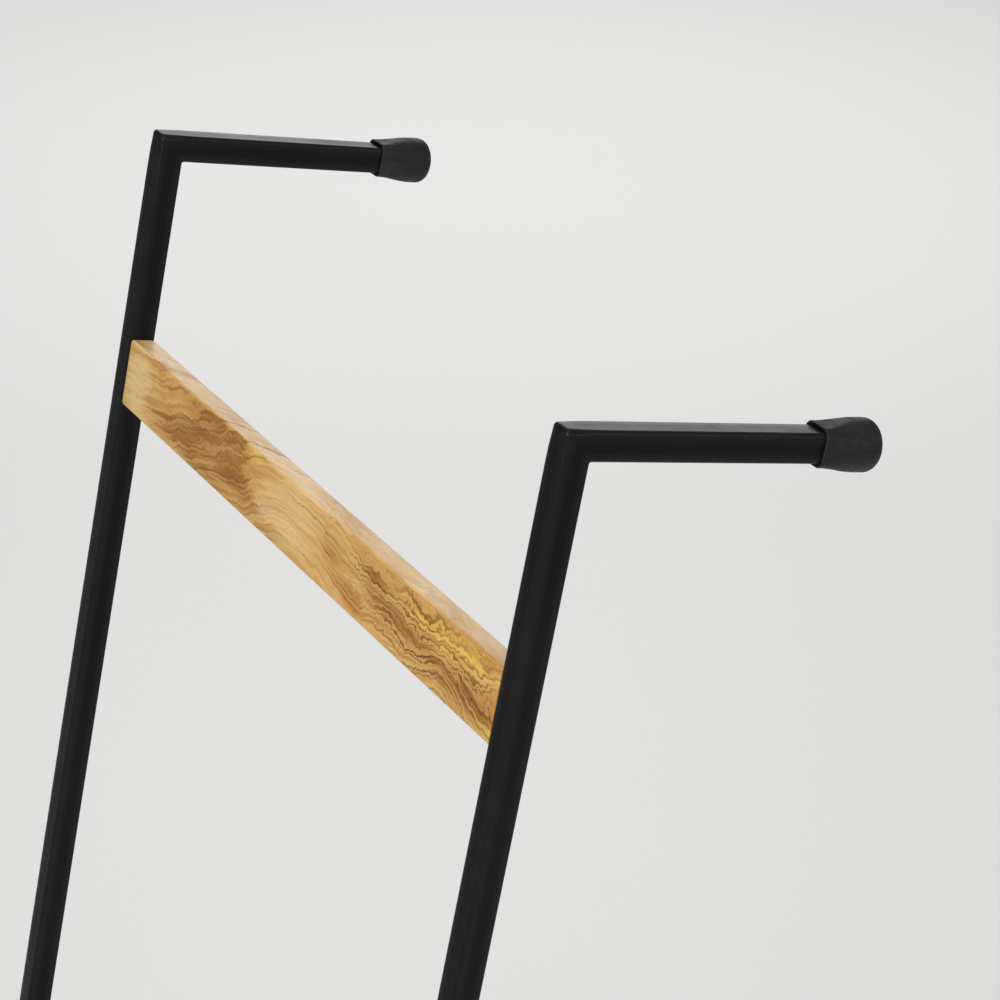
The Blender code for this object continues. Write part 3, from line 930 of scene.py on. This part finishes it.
def make_stage(settings):
    """Make the floor, the lights, the even sky and the camera."""
    half = settings.floor_size / 2
    mesh = bpy.data.meshes.new("floor")
    mesh.from_pydata([(-half, -half, 0), (half, -half, 0), (half, half, 0), (-half, half, 0)],
                     [], [(0, 1, 2, 3)])
    floor = bpy.data.objects.new("floor", mesh)
    bpy.context.scene.collection.objects.link(floor)
    mesh.materials.append(pale_floor(settings.floor_colour))

    low, high = CAD_BOX
    upper = Vector(((low.x + high.x) / 2, (low.y + high.y) / 2, high.z * 0.85))
    behind = Vector(settings.backdrop_place)
    add_area("backdrop", behind + Vector((0, 0, settings.backdrop_height)), behind,
             settings.backdrop_size, settings.backdrop_power, WHITE, spread=120)
    add_area("key", upper + Vector((2.0, -2.2, 1.2)), upper, 1.4, settings.key_power,
             (1.0, 0.985, 0.96))
    side = Vector(settings.side_place)
    add_area("side", side + Vector((0, 0, 2.4)), side, 2.0, settings.side_power, WHITE)
    add_area("overhead", upper + Vector((0.5, 0.1, 2.3)), upper, 1.5,
             settings.overhead_power, (1.0, 0.985, 0.95), spread=120)
    add_area("sheen", upper + Vector((-2.5, 1.6, 1.15)), upper, 1.7, settings.sheen_power,
             WHITE)

    world = bpy.data.worlds.new("even_sky")
    bpy.context.scene.world = world
    world.use_nodes = True
    backdrop = world.node_tree.nodes["Background"]
    backdrop.inputs["Color"].default_value = (1.0, 0.99, 0.98, 1.0)
    backdrop.inputs["Strength"].default_value = settings.sky

    data = bpy.data.cameras.new("camera")
    data.sensor_width = 36.0
    data.lens = settings.lens
    data.clip_start = 0.05
    data.clip_end = 200.0
    camera = bpy.data.objects.new("camera", data)
    bpy.context.scene.collection.objects.link(camera)
    back = Vector((math.sin(settings.azimuth) * math.cos(settings.elevation),
                   -math.cos(settings.azimuth) * math.cos(settings.elevation),
                   math.sin(settings.elevation)))
    target = Vector(settings.target)
    aim(camera, target + back * settings.distance, target)
    roll = Quaternion((0, 0, 1), settings.roll)
    camera.rotation_quaternion = camera.rotation_quaternion @ roll
    bpy.context.scene.camera = camera
    bpy.context.scene.view_settings.view_transform = "Standard"


# ---- operators and panel ----

class LADDER_OT_side_frames(bpy.types.Operator):
    """Make the two welded side frames"""

    bl_idname = "ladder.side_frames"
    bl_label = "Side frames"

    def execute(self, context):
        settings = context.scene.ladder_frame
        look = powder_coat(tuple(settings.colour), settings.roughness)
        for side in SIDES:
            make_side_frame(side, settings, look)
        return {"FINISHED"}


class LADDER_OT_caps(bpy.types.Operator):
    """Make the rubber caps on the arms and on the feet"""

    bl_idname = "ladder.caps"
    bl_label = "Rubber caps"

    def execute(self, context):
        settings = context.scene.ladder_cap
        look = rubber(tuple(settings.colour), settings.roughness)
        for side in SIDES:
            for kind in ("wall", "foot"):
                make_cap(side, kind, settings, look)
        return {"FINISHED"}


class LADDER_OT_rungs(bpy.types.Operator):
    """Make the wooden rungs"""

    bl_idname = "ladder.rungs"
    bl_label = "Rungs"

    def execute(self, context):
        settings = context.scene.ladder_rung
        colours = {name: tuple(getattr(settings, name)) for name in WOOD_COLOURS}
        look = lacquered_wood(colours, settings.roughness)
        for name in RUNG_NAMES:
            make_rung(name, settings, look)
        return {"FINISHED"}


class LADDER_OT_pins(bpy.types.Operator):
    """Give the steel pins their finish"""

    bl_idname = "ladder.pins"
    bl_label = "Steel pins"

    def execute(self, context):
        settings = context.scene.ladder_rung
        look = turned_steel(tuple(settings.steel), settings.steel_roughness)
        for name in PIN_NAMES:
            pin = frame["nodes"][name]
            pin.data.materials.clear()
            pin.data.materials.append(look)
        return {"FINISHED"}


class LADDER_OT_stage(bpy.types.Operator):
    """Make the floor, the lights and the camera"""

    bl_idname = "ladder.stage"
    bl_label = "Stage"

    def execute(self, context):
        make_stage(context.scene.ladder_stage)
        return {"FINISHED"}


class LADDER_PT_panel(bpy.types.Panel):
    """Sizes, colours and buttons for the ladder's pieces"""

    bl_idname = "LADDER_PT_panel"
    bl_label = "Blanket ladder"
    bl_space_type = "VIEW_3D"
    bl_region_type = "UI"
    bl_category = "Ladder"

    def draw(self, context):
        for label, group, operators in PANEL_ROWS:
            box = self.layout.box()
            box.label(text=label)
            settings = getattr(context.scene, group, None)
            if settings is not None:
                for key in settings.bl_rna.properties.keys():
                    if key not in ("rna_type", "name"):
                        box.prop(settings, key)
            for operator in operators:
                box.operator(operator)


PANEL_ROWS = (
    ("Side frames", "ladder_frame", ("ladder.side_frames",)),
    ("Rubber caps", "ladder_cap", ("ladder.caps",)),
    ("Rungs and pins", "ladder_rung", ("ladder.rungs", "ladder.pins")),
    ("Stage", "ladder_stage", ("ladder.stage",)),
)
SETTINGS = {
    "ladder_frame": FrameSettings,
    "ladder_cap": CapSettings,
    "ladder_rung": RungSettings,
    "ladder_stage": StageSettings,
}
OPERATORS = (LADDER_OT_side_frames, LADDER_OT_caps, LADDER_OT_rungs, LADDER_OT_pins,
             LADDER_OT_stage)


def register():
    """Register the settings, the operators and the panel."""
    for attribute, group in SETTINGS.items():
        bpy.utils.register_class(group)
        setattr(bpy.types.Scene, attribute, bpy.props.PointerProperty(type=group))
    for operator in OPERATORS:
        bpy.utils.register_class(operator)
    bpy.utils.register_class(LADDER_PT_panel)


def unregister():
    """Undo register."""
    bpy.utils.unregister_class(LADDER_PT_panel)
    for operator in reversed(OPERATORS):
        bpy.utils.unregister_class(operator)
    for attribute, group in reversed(list(SETTINGS.items())):
        delattr(bpy.types.Scene, attribute)
        bpy.utils.unregister_class(group)


def main():
    """Build every piece and the stage."""
    register()
    bpy.ops.ladder.stage()
    bpy.ops.ladder.side_frames()
    bpy.ops.ladder.caps()
    bpy.ops.ladder.rungs()
    bpy.ops.ladder.pins()


if __name__ == "__main__":
    main()
